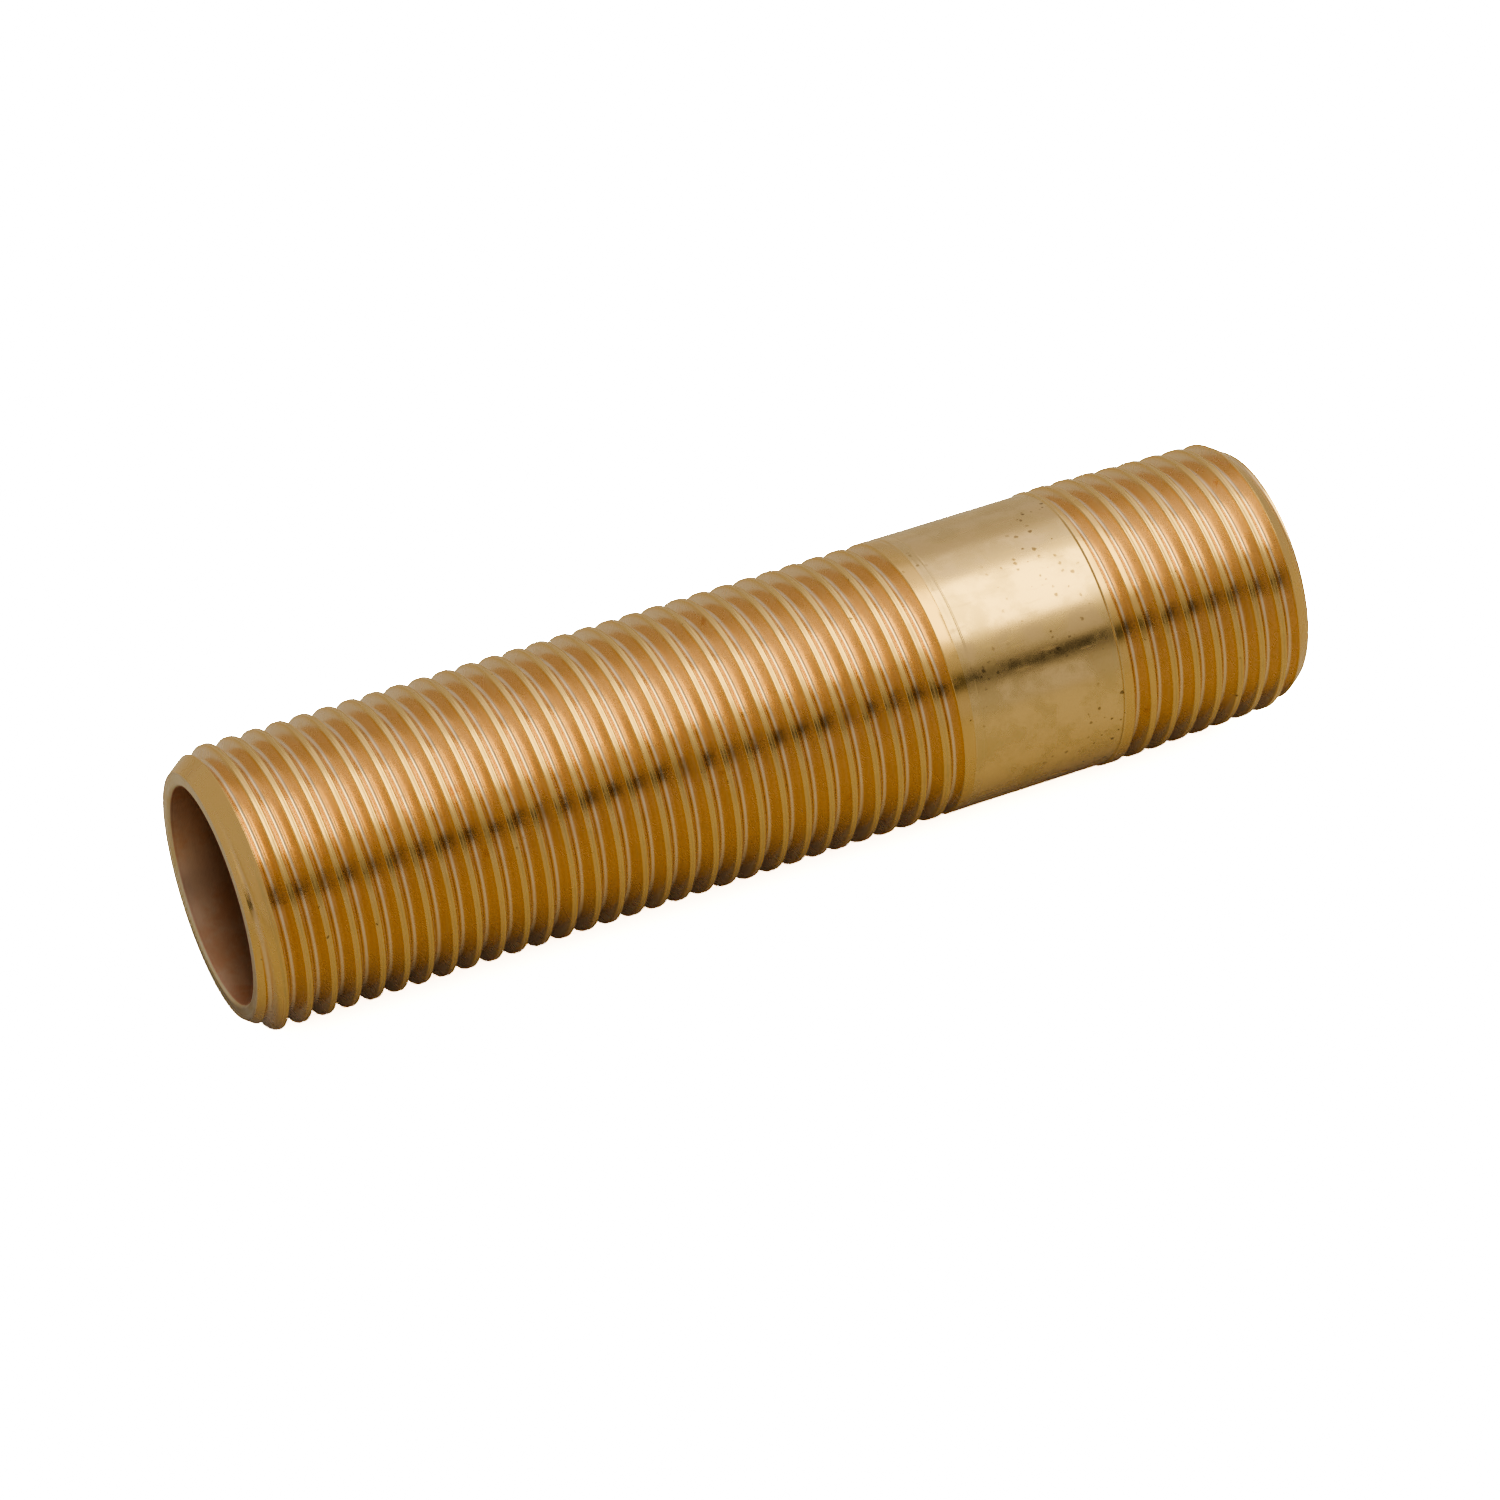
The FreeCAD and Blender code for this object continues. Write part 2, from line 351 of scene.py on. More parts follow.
def strip_faces(count, rows, per_turn):
    """Four corners of each face of a thread grid. A face of the last column reaches the first
    column's row one turn on."""
    row = np.arange(rows - 1)
    column = np.arange(count - 1)
    start = (column[:, None] * rows + row[None, :]).ravel()
    inner = np.stack([start, start + rows, start + rows + 1, start + 1], axis=-1)
    row = np.arange(rows - 1 - per_turn)
    start = (count - 1) * rows + row
    seam = np.stack([start, row + per_turn, row + per_turn + 1, start + 1], axis=-1)
    return np.concatenate([inner, seam])


def ring_faces(count, rows):
    """Four corners of each face of a grid whose columns close into rings."""
    row = np.arange(rows - 1)
    column = np.arange(count)
    start = column[:, None] * rows + row[None, :]
    ahead = ((column + 1) % count)[:, None] * rows + row[None, :]
    return np.stack([start, ahead, ahead + 1, start + 1], axis=-1).reshape(-1, 4)


def barrel_rows(start, end, sizes):
    """Rows along the barrel: close together at the thread's run-out and at the shoulder."""
    near = np.linspace(start, start + 1.6 * MM, 26)
    plain = np.linspace(start + 1.6 * MM, sizes.shoulder - 0.3 * MM, 14)[1:]
    ring = sizes.shoulder + np.array([-0.15, -0.06, -0.02, 0.0, 0.02, 0.05, 0.09]) * MM
    return np.concatenate([near, plain, ring, [end]])


def run_out_marks(x, sizes):
    """What turning left beside the run-out: a low swell, and a fine ring cut into the barrel, both
    bell curves along the axis."""
    swell = 0.012 * MM * np.exp(-(((x - sizes.barrel_start - 0.25 * MM) / (0.16 * MM)) ** 2))
    ring = 0.022 * MM * np.exp(-(((x - sizes.barrel_start - 0.78 * MM) / (0.06 * MM)) ** 2))
    return swell - ring


def end_outline(sizes):
    """The outline from the short end's chamfer in over its ring face, back along the bore and out
    over the long end's ring face, as x and radius, with its corners eased."""
    end, bore, ease = sizes.overall_length, sizes.bore_radius, CORNER_EASE
    mouth = bore + sizes.bore_chamfer
    face_rows = np.linspace(sizes.face_radius - CORNER_STEP, mouth + ease, 5)
    right = [(end, radius) for radius in face_rows] + [
        (end - ease, mouth - ease),
        (end - sizes.bore_chamfer + ease, bore + ease),
        (end - sizes.bore_chamfer - ease, bore),
    ]
    along = np.linspace(end - sizes.bore_chamfer - ease, sizes.bore_chamfer + ease, 26)
    inside = [(x, bore) for x in along[1:-1]]
    left = [(end - x, radius) for x, radius in reversed(right)]
    return np.array(right + inside + left)


def outline_normals(outline):
    """Unit normals in x and radius of an open outline, each the mean of its two sides, turned a
    quarter turn to the side the metal isn't on."""
    side = np.diff(outline, axis=0)
    side /= np.linalg.norm(side, axis=1)[:, None]
    mean = np.concatenate([side[:1], side[:-1] + side[1:], side[-1:]])
    mean /= np.linalg.norm(mean, axis=1)[:, None]
    return np.stack([-mean[:, 1], mean[:, 0]], axis=-1)


def outer_normals(x, angle, radius_at):
    """Unit normals of the surface whose radius is radius_at(x, angle), from its slopes along the
    axis and round it, taken over short steps to both sides."""
    dx, da = 0.012 * MM, 0.004
    here = radius_at(x, angle)
    along = (radius_at(x + dx, angle) - radius_at(x - dx, angle)) / (2 * dx)
    around = (radius_at(x, angle + da) - radius_at(x, angle - da)) / (2 * da) / here
    out = np.stack([-along, np.ones_like(x), -around], axis=-1)
    out /= np.linalg.norm(out, axis=-1)[..., None]
    cosine, sine = np.cos(angle), np.sin(angle)
    return np.stack(
        [
            out[..., 0],
            out[..., 1] * cosine - out[..., 2] * sine,
            out[..., 1] * sine + out[..., 2] * cosine,
        ],
        axis=-1,
    )


def outer_part(x, angle, groove, sizes):
    """Points, normals and finish values of a stretch of the outer surface."""

    def radius_at(place, turned):
        turn_of = (turned - math.pi / 2) / (2 * math.pi)
        return shell_radius(place, turn_of, groove, sizes)[0] + run_out_marks(place, sizes)

    turn_of = (angle - math.pi / 2) / (2 * math.pi)
    radius, blank, furrow = shell_radius(x, turn_of, groove, sizes)
    radius = radius + run_out_marks(x, sizes)
    points = np.stack([x, radius * np.cos(angle), radius * np.sin(angle)], axis=-1)
    normals = outer_normals(x, angle, radius_at)
    return points, normals, np.stack([(blank - radius) / MM, furrow], axis=-1)


def revolved_part(outline, angle):
    """An outline of x and radius turned about the axis, with its normals."""
    normal = outline_normals(outline)

    def turned(pairs):
        x = np.broadcast_to(pairs[None, :, 0], (len(angle), len(pairs)))
        out = pairs[None, :, 1]
        return np.stack([x, out * np.cos(angle)[:, None], out * np.sin(angle)[:, None]], axis=-1)

    return turned(outline), turned(normal)


def nipple_shell(sizes):
    """The whole nipple as one closed shell: the parallel thread's grid up to the barrel, rings
    along the barrel, the taper thread's grid, and the ends and bore as one turned outline.
    Returns points, normals, finish values, faces and each face's material number."""
    count = sizes.columns
    split_left = sizes.barrel_start + 0.06 * MM
    split_right = sizes.shoulder + 0.12 * MM
    angle = math.pi / 2 + 2 * math.pi * np.arange(count) / count
    turns_back = math.ceil(sizes.barrel_start / sizes.pitch) + 2
    parallel = ThreadGrid(parallel_groove, (-turns_back, 2), (0.0, split_left), sizes)
    turns_on = math.ceil((sizes.overall_length - sizes.first_taper_groove) / sizes.pitch) + 1
    taper = ThreadGrid(
        taper_groove, (-3, turns_on), (split_right, sizes.overall_length), sizes
    )
    along = barrel_rows(split_left, split_right, sizes)
    barrel_x = np.broadcast_to(along[None, :], (count, len(along)))
    barrel_angle = np.broadcast_to(angle[:, None], barrel_x.shape)
    middle = 0.5 * (sizes.barrel_start + sizes.shoulder)
    outline = end_outline(sizes)
    end_points, end_normals = revolved_part(outline, angle)
    for row, x, groove in (
        (0, sizes.overall_length, taper_groove),
        (-1, 0.0, parallel_groove),
    ):
        rim = outer_part(np.full(count, x), angle, groove, sizes)
        end_points[:, row], end_normals[:, row] = rim[0], rim[1]

    parts = []
    for grid, groove in ((parallel, parallel_groove), (taper, taper_groove)):
        found = outer_part(grid.x, grid.angle, groove, sizes)
        faces = strip_faces(count, grid.x.shape[1], grid.per_turn)
        parts.append((*found, faces, THREAD))
    near = outer_part(barrel_x, barrel_angle, parallel_groove, sizes)
    far = outer_part(barrel_x, barrel_angle, taper_groove, sizes)
    chosen = barrel_x < middle
    mixed = [np.where(chosen[..., None], a, b) for a, b in zip(near, far)]
    parts.append((*mixed, ring_faces(count, len(along)), BARREL))
    plain = np.zeros((*end_points.shape[:2], len(FINISH_VALUES)))
    parts.append((end_points, end_normals, plain, ring_faces(count, len(outline)), FACE))
    return joined(parts, sizes)


def joined(parts, sizes):
    """One mesh from the grids: points that coincide become one, and a face loses the corners
    that fell together."""
    points = np.concatenate([part[0].reshape(-1, 3) for part in parts])
    normals = np.concatenate([part[1].reshape(-1, 3) for part in parts])
    values = np.concatenate([part[2].reshape(-1, len(FINISH_VALUES)) for part in parts])
    faces, materials, base = [], [], 0
    for part in parts:
        faces.append(part[3] + base)
        materials.append(np.full(len(part[3]), part[4]))
        base += part[0].shape[0] * part[0].shape[1]
    faces, materials = np.concatenate(faces), np.concatenate(materials)
    key = np.round(points / MATCH_STEP).astype(np.int64)
    _, first, index = np.unique(key, axis=0, return_index=True, return_inverse=True)
    faces = index.ravel()[faces]
    points, normals, values = points[first], normals[first], values[first]
    materials = face_materials(points[faces].mean(axis=1), materials, sizes)
    repeated = faces == np.roll(faces, -1, axis=1)
    whole = ~repeated.any(axis=1)
    three = repeated.sum(axis=1) == 1
    triangles = faces[three][~repeated[three]].reshape(-1, 3)
    corners = np.concatenate([faces[whole].ravel(), triangles.ravel()])
    totals = np.concatenate([np.full(whole.sum(), 4), np.full(len(triangles), 3)])
    materials = np.concatenate([materials[whole], materials[three]])
    return points, normals, values, corners, totals, materials


def face_materials(middle, materials, sizes):
    """Faces of the ends' outline inside the bore's mouths get the bore's material."""
    radius = np.hypot(middle[:, 1], middle[:, 2])
    inside = (materials == FACE) & (radius < sizes.bore_radius + 0.02 * MM)
    return np.where(inside, BORE, materials)


def add_mesh(name, shell):
    """Puts worked-out points, faces, normals and finish values into a new object."""
    points, normals, values, corners, totals, materials = shell
    mesh = bpy.data.meshes.new(name)
    mesh.vertices.add(len(points))
    mesh.vertices.foreach_set("co", points.astype(np.float32).ravel())
    mesh.loops.add(len(corners))
    mesh.loops.foreach_set("vertex_index", corners.astype(np.int32))
    mesh.polygons.add(len(totals))
    starts = np.concatenate([[0], np.cumsum(totals)[:-1]])
    mesh.polygons.foreach_set("loop_start", starts.astype(np.int32))
    mesh.polygons.foreach_set("material_index", materials.astype(np.int32))
    mesh.polygons.foreach_set("use_smooth", np.ones(len(totals), bool))
    for label, column in zip(FINISH_VALUES, values.T):
        attribute = mesh.attributes.new(label, "FLOAT", "POINT")
        attribute.data.foreach_set("value", column.astype(np.float32))
    mesh.update(calc_edges=True)
    if mesh.validate():
        raise RuntimeError(f"{name} had faces that couldn't be used")
    mesh.normals_split_custom_set_from_vertices(normals.tolist())
    piece = bpy.data.objects.new(name, mesh)
    bpy.context.scene.collection.objects.link(piece)
    return piece


# ---------------------------------------------------------------------------------- the finish


class Board:
    """Lays out and links the nodes of one material or node group."""

    def __init__(self, tree):
        self.tree = tree

    def node(self, kind, inputs=None, **settings):
        """A new node with its settings made, and its inputs linked or filled in."""
        made = self.tree.nodes.new(kind)
        for setting, value in settings.items():
            setattr(made, setting, value)
        for key, value in (inputs or {}).items():
            if isinstance(value, bpy.types.NodeSocket):
                self.tree.links.new(value, made.inputs[key])
            else:
                made.inputs[key].default_value = value
        return made

    def math(self, operation, *values):
        made = self.node("ShaderNodeMath", dict(enumerate(values)), operation=operation)
        return made.outputs[0]

    def ramp(self, value, low, high, to_low=0.0, to_high=1.0):
        """Runs smoothly from to_low to to_high as the value goes from low to high."""
        made = self.node(
            "ShaderNodeMapRange",
            {"Value": value, "From Min": low, "From Max": high, "To Min": to_low,
             "To Max": to_high},
            interpolation_type="SMOOTHSTEP",
        )
        return made.outputs["Result"]

    def mix(self, amount, first, second):
        """The first colour, with an amount from 0 to 1 of the second."""
        colours = {
            place: value if isinstance(value, bpy.types.NodeSocket) else (*value, 1.0)
            for place, value in ((6, first), (7, second))
        }
        made = self.node("ShaderNodeMix", {0: amount, **colours}, data_type="RGBA")
        return made.outputs[2]

    def noise(self, vector, scale, detail=2.0, roughness=0.5):
        made = self.node(
            "ShaderNodeTexNoise",
            {"Vector": vector, "Scale": scale, "Detail": detail, "Roughness": roughness},
        )
        return made.outputs["Fac"]


def new_group(name, inputs, outputs):
    """An empty shader node group with named sockets, and its board and ends."""
    tree = bpy.data.node_groups.new(name, "ShaderNodeTree")
    for direction, sockets in (("INPUT", inputs), ("OUTPUT", outputs)):
        for label, kind, default in sockets:
            socket = tree.interface.new_socket(
                name=label, in_out=direction, socket_type=f"NodeSocket{kind}"
            )
            if default is not None:
                socket.default_value = default
    board = Board(tree)
    return tree, board, board.node("NodeGroupInput").outputs, board.node("NodeGroupOutput").inputs


def turning_lines_group():
    """Fine lines left by the lathe: noise squeezed along the axis and drawn out round it, with
    coarser noise of the same kind added."""
    tree, board, given, out = new_group(
        "turning_lines",
        [("Vector", "Vector", None), ("Lines per mm", "Float", 9.0), ("Length mm", "Float", 5.0)],
        [("Lines", "Float", None)],
    )
    split = board.node("ShaderNodeSeparateXYZ", {"Vector": given["Vector"]}).outputs
    across = board.math("DIVIDE", 1000.0, given["Length mm"])
    squeeze = board.math("MULTIPLY", given["Lines per mm"], 1000.0)
    place = board.node(
        "ShaderNodeCombineXYZ",
        {
            "X": board.math("MULTIPLY", split["X"], squeeze),
            "Y": board.math("MULTIPLY", split["Y"], across),
            "Z": board.math("MULTIPLY", split["Z"], across),
        },
    ).outputs[0]
    fine = board.noise(place, 1.0, 2.0, 0.6)
    coarse = board.noise(place, 0.31, 1.0)
    both = board.math("ADD", board.math("MULTIPLY", fine, 0.6), board.math("MULTIPLY", coarse, 0.4))
    board.tree.links.new(both, out["Lines"])
    return tree


def specks_group():
    """Small scattered spots. A cell pattern gives each spot its middle, a noise bends its rim, and
    a broad noise thins the spots out in places."""
    tree, board, given, out = new_group(
        "specks",
        [("Vector", "Vector", None), ("Spacing mm", "Float", 1.0), ("Size", "Float", 0.16),
         ("Share", "Float", 0.5)],
        [("Specks", "Float", None)],
    )
    scale = board.math("DIVIDE", 1000.0, given["Spacing mm"])
    spread = board.node(
        "ShaderNodeVectorMath", {0: given["Vector"], "Scale": scale}, operation="SCALE"
    ).outputs[0]
    bend = board.node(
        "ShaderNodeTexNoise", {"Vector": given["Vector"], "Scale": 4000.0, "Detail": 1.0}
    ).outputs["Color"]
    bent = board.node(
        "ShaderNodeVectorMath", {0: bend, 1: (0.4, 0.4, 0.4), 2: spread}, operation="MULTIPLY_ADD"
    ).outputs[0]
    cells = board.node("ShaderNodeTexVoronoi", {"Vector": bent, "Scale": 1.0})
    own = board.node("ShaderNodeSeparateColor", {"Color": cells.outputs["Color"]}).outputs
    size = board.math("MULTIPLY", given["Size"], own["Red"])
    inner = board.math("MULTIPLY", size, 0.45)
    spot = board.ramp(cells.outputs["Distance"], inner, size, 1.0, 0.0)
    kept = board.math("LESS_THAN", own["Green"], given["Share"])
    patch = board.ramp(board.noise(given["Vector"], 130.0, 1.0), 0.42, 0.62)
    found = board.math("MULTIPLY", board.math("MULTIPLY", spot, kept), patch)
    board.tree.links.new(found, out["Specks"])
    return tree


def tarnish_group():
    """Soft clouds of thin tarnish, from 0 to 1: one noise with finer noise in it."""
    tree, board, given, out = new_group(
        "tarnish",
        [("Vector", "Vector", None), ("Size mm", "Float", 3.0)],
        [("Tarnish", "Float", None)],
    )
    scale = board.math("DIVIDE", 1000.0, given["Size mm"])
    clouds = board.noise(given["Vector"], scale, 4.0, 0.62)
    board.tree.links.new(board.ramp(clouds, 0.36, 0.68), out["Tarnish"])
    return tree


def placed(board, tree, inputs):
    """The outputs of a finish group put into a material."""
    return board.node("ShaderNodeGroup", inputs, node_tree=tree).outputs


class FinishGroups:
    """The effects that the brass materials share, each built once."""

    def __init__(self):
        self.lines = turning_lines_group()
        self.specks = specks_group()
        self.tarnish = tarnish_group()


def begin_material(name):
    """A material with its Principled shader set to plain metal, its board, and the piece's own
    coordinates."""
    material = bpy.data.materials.new(name)
    material.use_nodes = True
    board = Board(material.node_tree)
    shader = material.node_tree.nodes["Principled BSDF"]
    shader.inputs["Metallic"].default_value = 1.0
    place = board.node("ShaderNodeTexCoord").outputs["Object"]
    return material, board, shader, place


def finish_surface(board, shader, base, roughness, height, strength, reach):
    """Connects a material's colour, roughness and fine relief. Reach is the height's full scale
    in metres."""
    links = board.tree.links
    links.new(base, shader.inputs["Base Color"])
    links.new(roughness, shader.inputs["Roughness"])
    bump = board.node(
        "ShaderNodeBump", {"Height": height, "Strength": strength, "Distance": reach}
    )
    links.new(bump.outputs["Normal"], shader.inputs["Normal"])


def thread_brass(groups, finish):
    """Brass of the threads: bright crest edges with a duller furrow between them, warm grooves
    with a few copper-red spots, and dark specks on the crests."""
    material, board, shader, place = begin_material("thread_brass")
    depth = board.node("ShaderNodeAttribute", attribute_name="groove_depth").outputs["Fac"]
    furrow = board.node("ShaderNodeAttribute", attribute_name="furrow").outputs["Fac"]
    groove = board.ramp(depth, -0.06, 0.4)
    tarnish = placed(board, groups.tarnish, {"Vector": place, "Size mm": 2.4})["Tarnish"]
    specks = placed(
        board, groups.specks, {"Vector": place, "Spacing mm": 0.9, "Size": 0.2, "Share": 0.45}
    )["Specks"]
    spots = placed(
        board, groups.specks, {"Vector": place, "Spacing mm": 1.7, "Size": 0.3, "Share": 0.3}
    )["Specks"]
    lines = placed(
        board, groups.lines, {"Vector": place, "Lines per mm": 7.0, "Length mm": 4.0}
    )["Lines"]
    base = board.mix(groove, finish.crest, finish.groove)
    dulled = board.math("MULTIPLY", furrow, board.ramp(tarnish, 0.0, 1.0, 0.45, 0.95))
    base = board.mix(dulled, base, finish.furrow)
    stained = board.math("MULTIPLY", board.math("MULTIPLY", spots, groove), 0.5)
    base = board.mix(stained, base, finish.red_stain)
    crest_specks = board.math("MULTIPLY", specks, board.ramp(depth, 0.0, 0.3, 0.7, 0.06))
    base = board.mix(crest_specks, base, finish.dark_speck)
    roughness = board.math(
        "ADD",
        board.ramp(tarnish, 0.0, 1.0, finish.polish - 0.03, finish.polish + 0.05),
        board.math("MULTIPLY", furrow, finish.dullness - finish.polish),
    )
    roughness = board.math("ADD", roughness, board.math("MULTIPLY", specks, 0.25))
    finish_surface(board, shader, base, roughness, lines, 0.05, 0.003 * MM)
    return material


def barrel_brass(groups, finish):
    """Brass of the plain barrel: fine turning lines, dull clouds, dark specks and short scratches
    along the axis."""
    material, board, shader, place = begin_material("barrel_brass")
    tarnish = placed(board, groups.tarnish, {"Vector": place, "Size mm": 3.2})["Tarnish"]
    specks = placed(
        board, groups.specks, {"Vector": place, "Spacing mm": 0.6, "Size": 0.38, "Share": 0.9}
    )["Specks"]
    lines = placed(
        board, groups.lines, {"Vector": place, "Lines per mm": 8.0, "Length mm": 9.0}
    )["Lines"]
    drawn = board.node(
        "ShaderNodeMapping", {"Vector": place, "Scale": (380.0, 2600.0, 2600.0)}
    ).outputs[0]
    scratches = board.ramp(board.noise(drawn, 1.0, 1.0), 0.63, 0.72)
    base = board.mix(board.ramp(tarnish, 0.0, 1.0, 0.0, 0.55), finish.brass, finish.furrow)
    base = board.mix(board.math("MULTIPLY", specks, 0.7), base, finish.dark_speck)
    roughness = board.math(
        "ADD",
        board.ramp(tarnish, 0.0, 1.0, finish.polish - 0.05, finish.polish + 0.04),
        board.math("MULTIPLY", scratches, 0.06),
    )
    height = board.math("SUBTRACT", lines, board.math("MULTIPLY", specks, 0.5))
    height = board.math("SUBTRACT", height, board.math("MULTIPLY", scratches, 0.4))
    finish_surface(board, shader, base, roughness, height, 0.12, 0.004 * MM)
    return material


def faced_brass(groups, finish):
    """Brass of the ring faces: rings left by the facing tool, a little duller than the barrel.
    The rings are noise read along the distance from the axis."""
    material, board, shader, place = begin_material("faced_brass")
    split = board.node("ShaderNodeSeparateXYZ", {"Vector": place}).outputs
    flat = board.node("ShaderNodeCombineXYZ", {"Y": split["Y"], "Z": split["Z"]}).outputs[0]
    radius = board.node("ShaderNodeVectorMath", {0: flat}, operation="LENGTH").outputs["Value"]
    lines = board.node(
        "ShaderNodeTexNoise",
        {"W": radius, "Scale": 9000.0, "Detail": 2.0},
        noise_dimensions="1D",
    ).outputs["Fac"]
    tarnish = placed(board, groups.tarnish, {"Vector": place, "Size mm": 2.0})["Tarnish"]
    base = board.mix(board.ramp(tarnish, 0.0, 1.0, 0.0, 0.35), finish.face, finish.furrow)
    roughness = board.ramp(lines, 0.2, 0.8, finish.dullness - 0.06, finish.dullness + 0.06)
    finish_surface(board, shader, base, roughness, lines, 0.3, 0.005 * MM)
    return material


def bored_brass(groups, finish):
    """Brass of the bore: dull and brown, with the boring tool's coarser lines."""
    material, board, shader, place = begin_material("bored_brass")
    lines = placed(
        board, groups.lines, {"Vector": place, "Lines per mm": 3.2, "Length mm": 16.0}
    )["Lines"]
    tarnish = placed(board, groups.tarnish, {"Vector": place, "Size mm": 4.0})["Tarnish"]
    base = board.mix(board.ramp(tarnish, 0.0, 1.0, 0.0, 0.35), finish.bore, finish.red_stain)
    roughness = board.ramp(lines, 0.2, 0.8, finish.dullness, finish.dullness + 0.14)
    finish_surface(board, shader, base, roughness, lines, 0.5, 0.012 * MM)
    return material


# ---------------------------------------------------------------------------------- operators


class NIPPLE_OT_make_body(bpy.types.Operator):
    """Model the nipple as one closed shell in machined brass"""

    bl_idname = "nipple.make_body"
    bl_label = "Nipple Body"

    def execute(self, context):
        scene = context.scene
        piece = add_mesh("nipple_shell", nipple_shell(scene.nipple_sizes))
        groups = FinishGroups()
        makers = {THREAD: thread_brass, BARREL: barrel_brass, FACE: faced_brass, BORE: bored_brass}
        for _, make in sorted(makers.items()):
            piece.data.materials.append(make(groups, scene.nipple_finish))
        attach(piece, "root")
        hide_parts("nipple_body")
        return {"FINISHED"}


def soft_box(name, spot, aim, size, power, tint=(1.0, 1.0, 1.0)):
    """A rectangular light at one point, turned to face another."""
    lamp = bpy.data.lights.new(name, "AREA")
    lamp.shape = "RECTANGLE"
    lamp.size, lamp.size_y = size
    lamp.energy = power
    lamp.color = tint
    light = bpy.data.objects.new(name, lamp)
    light.location = spot
    light.rotation_mode = "QUATERNION"
    light.rotation_quaternion = (Vector(aim) - Vector(spot)).to_track_quat("-Z", "Y")
    light.visible_camera = False
    bpy.context.scene.collection.objects.link(light)


def floor_paper(look):
    """Pale matt paper with a faint grain. It is seen many times brighter than the brass reflects
    it, so it stays pale under a light set for metal, and a soft shadow still shows on it."""
    material = bpy.data.materials.new("floor_paper")
    material.use_nodes = True
    material.node_tree.nodes.clear()
    board = Board(material.node_tree)
    grain = board.noise(board.node("ShaderNodeTexCoord").outputs["Object"], 900.0, 3.0)
    shade = board.ramp(grain, 0.3, 0.7, 1.0, 0.97)
    seen = board.node("ShaderNodeLightPath").outputs["Is Camera Ray"]
    glare = board.ramp(seen, 0.0, 1.0, 1.0, look.floor_glare)
    paper = board.node(
        "ShaderNodeVectorMath",
        {0: tuple(look.floor), "Scale": board.math("MULTIPLY", shade, glare)},
        operation="SCALE",
    ).outputs[0]
    matt = board.node("ShaderNodeBsdfDiffuse", {"Color": paper}).outputs[0]
    board.node("ShaderNodeOutputMaterial", {"Surface": matt})
    return material


def black_card():
    """Black card, which the brass reflects as a dark line."""
    material = bpy.data.materials.new("black_card")
    material.use_nodes = True
    shader = material.node_tree.nodes["Principled BSDF"]
    shader.inputs["Base Color"].default_value = (0.01, 0.01, 0.01, 1.0)
    shader.inputs["Roughness"].default_value = 1.0
    return material


def flat_sheet(name, corners, material):
    """A sheet with four corners that stands in the studio and isn't part of the nipple."""
    mesh = bpy.data.meshes.new(name)
    mesh.from_pydata(corners, [], [(0, 1, 2, 3)])
    mesh.materials.append(material)
    sheet = bpy.data.objects.new(name, mesh)
    bpy.context.scene.collection.objects.link(sheet)
    return sheet


def studio_world(look):
    """The even light of the room around. The camera sees it many times brighter than the brass
    does, like the floor."""
    world = bpy.data.worlds.new("studio")
    world.use_nodes = True
    board = Board(world.node_tree)
    seen = board.node("ShaderNodeLightPath").outputs["Is Camera Ray"]
    strength = board.ramp(seen, 0.0, 1.0, look.surround, look.surround * look.floor_glare)
    background = world.node_tree.nodes["Background"]
    background.inputs["Color"].default_value = (1.0, 1.0, 1.0, 1.0)
    world.node_tree.links.new(strength, background.inputs["Strength"])
    return world


def add_camera(collection):
    """A long lens that looks down on the nipple from beside its long end."""
    camera = bpy.data.objects.new("camera", bpy.data.cameras.new("camera"))
    camera.data.lens = 142.08
    camera.data.sensor_width = 36.0
    camera.data.clip_start = 0.01
    camera.data.clip_end = 20.0
    ahead = Vector(CAMERA_AHEAD).normalized()
    right = ahead.cross(Vector((0.0, 0.0, 1.0))).normalized()
    up = right.cross(ahead)
    turn = Matrix((right, up, -ahead)).transposed().to_4x4()
    camera.matrix_world = Matrix.Translation(Vector(CAMERA_SPOT)) @ turn
    collection.objects.link(camera)
    return camera


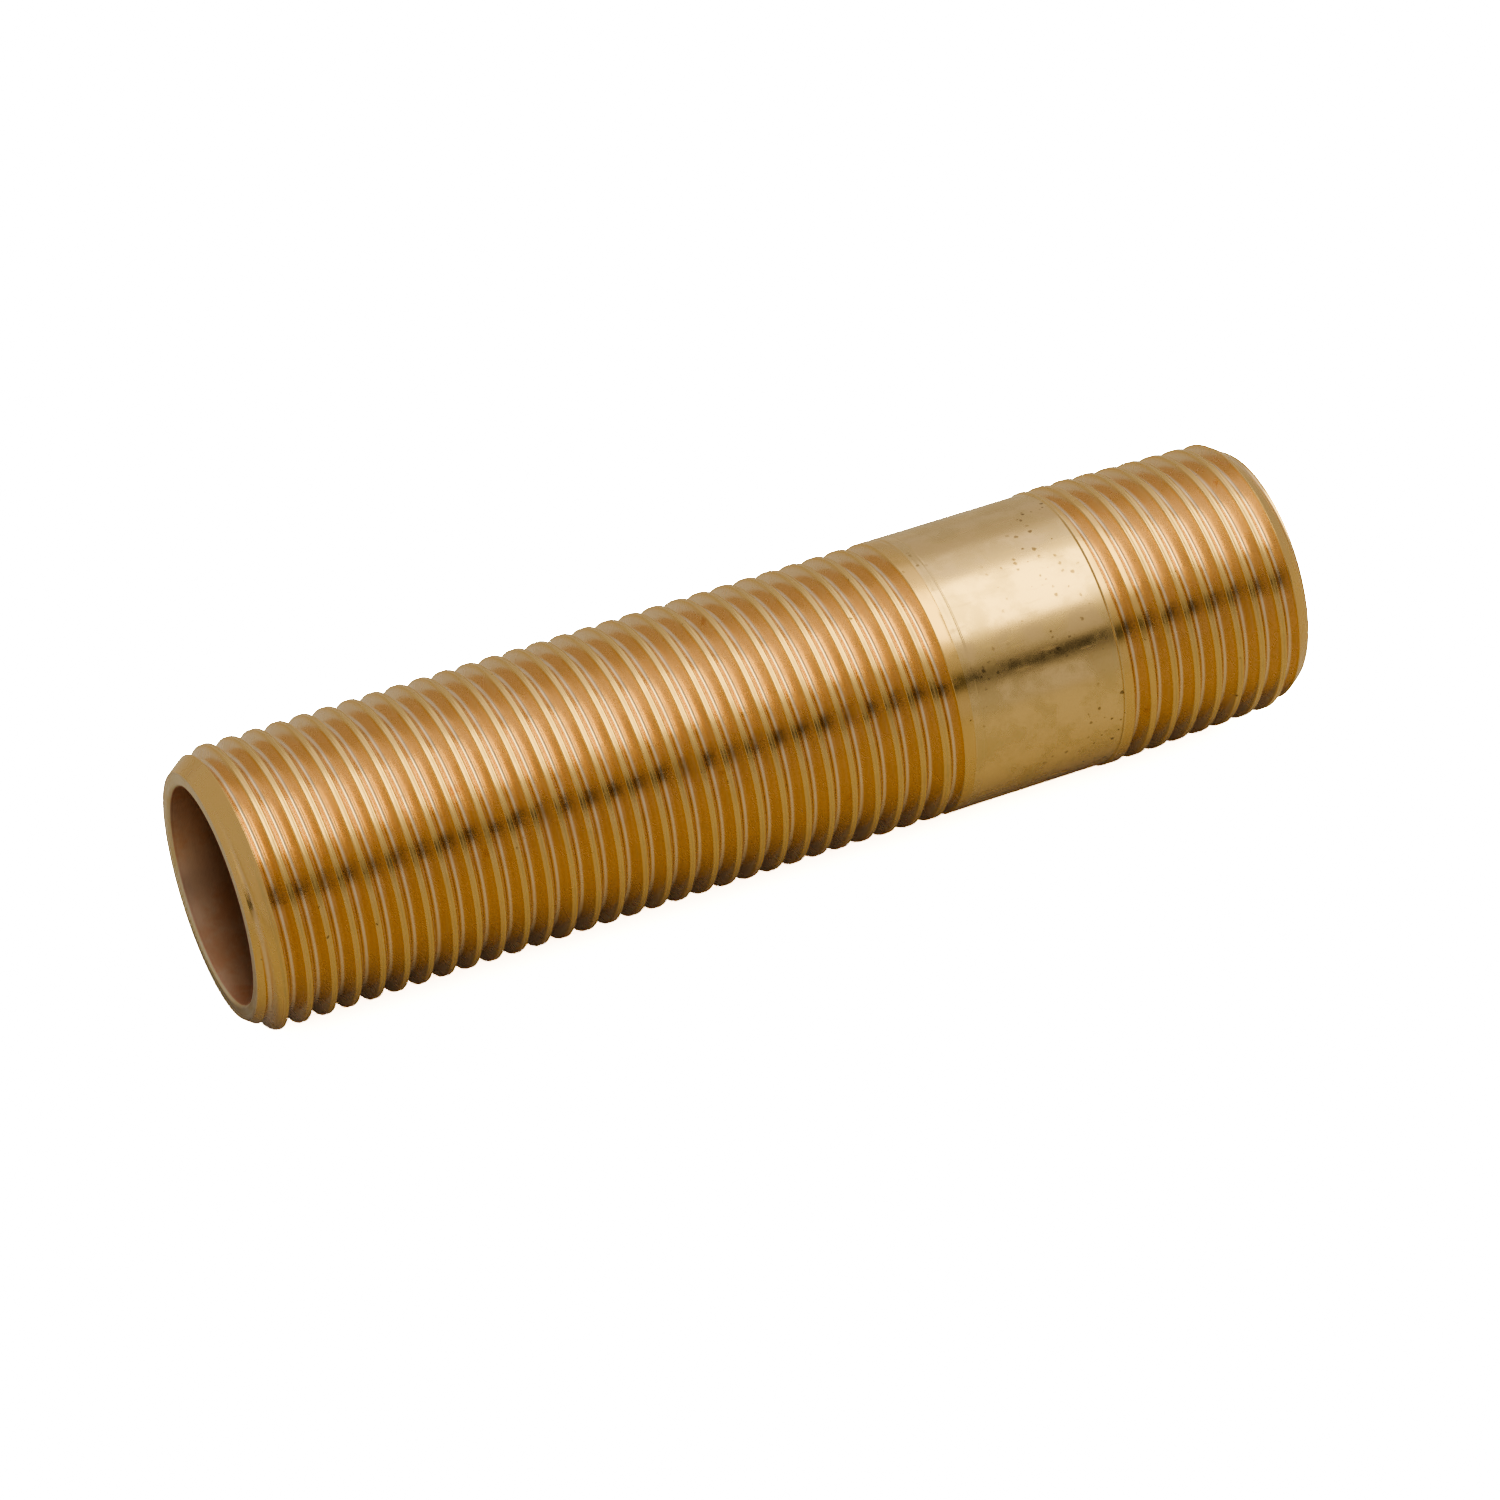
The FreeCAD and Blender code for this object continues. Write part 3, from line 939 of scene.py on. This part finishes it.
class NIPPLE_OT_make_stage(bpy.types.Operator):
    """Lay the pale floor and set up the lights and the camera"""

    bl_idname = "nipple.make_stage"
    bl_label = "Stage"

    def execute(self, context):
        scene = context.scene
        look = scene.nipple_studio
        low = BODY_LOW.z - 0.01 * MM
        ends = ((-FLOOR_REACH, -FLOOR_REACH), (FLOOR_REACH, -FLOOR_REACH),
                (FLOOR_REACH, FLOOR_REACH), (-FLOOR_REACH, FLOOR_REACH))
        flat_sheet("floor", [(x, y, low) for x, y in ends], floor_paper(look))
        (left, right), (foot, head) = FLAG_SPAN, FLAG_HEIGHTS
        ends = ((left, foot), (right, foot), (right, head), (left, head))
        flag = flat_sheet("flag", [(x, FLAG_DEPTH, z) for x, z in ends], black_card())
        flag.visible_camera = False
        soft_box(
            "overhead_box", (0.26, -0.045, 0.62), (0.26, -0.045, 0.0), (0.42, 0.56), look.key_power,
            look.key_tint,
        )
        soft_box("back_box", (0.3, 0.45, 0.6), (0.2, 0.0, 0.0), (0.8, 0.35), look.back_power)
        scene.world = studio_world(look)
        scene.view_settings.view_transform = "AgX"
        scene.view_settings.look = "AgX - High Contrast"
        scene.camera = add_camera(scene.collection)
        return {"FINISHED"}


class NIPPLE_PT_panel(bpy.types.Panel):
    """The nipple's sizes, finish and operators"""

    bl_label = "Pipe Nipple"
    bl_idname = "NIPPLE_PT_panel"
    bl_space_type = "VIEW_3D"
    bl_region_type = "UI"
    bl_category = "Nipple"

    def draw(self, context):
        layout = self.layout
        scene = context.scene
        for label, group in (
            ("Sizes", scene.nipple_sizes),
            ("Finish", scene.nipple_finish),
            ("Studio", scene.nipple_studio),
        ):
            box = layout.box()
            box.label(text=label)
            for name in group.__annotations__:
                box.prop(group, name)
        layout.operator(NIPPLE_OT_make_body.bl_idname)
        layout.operator(NIPPLE_OT_make_stage.bl_idname)


GROUPS = {
    "nipple_sizes": NippleSizes,
    "nipple_finish": BrassFinish,
    "nipple_studio": StudioLook,
}
CLASSES = (*GROUPS.values(), NIPPLE_OT_make_body, NIPPLE_OT_make_stage, NIPPLE_PT_panel)


def register():
    for item in CLASSES:
        bpy.utils.register_class(item)
    for name, group in GROUPS.items():
        setattr(bpy.types.Scene, name, PointerProperty(type=group))


def unregister():
    for name in GROUPS:
        delattr(bpy.types.Scene, name)
    for item in reversed(CLASSES):
        bpy.utils.unregister_class(item)


def main():
    register()
    bpy.ops.nipple.make_body()
    bpy.ops.nipple.make_stage()


if __name__ == "__main__":
    main()
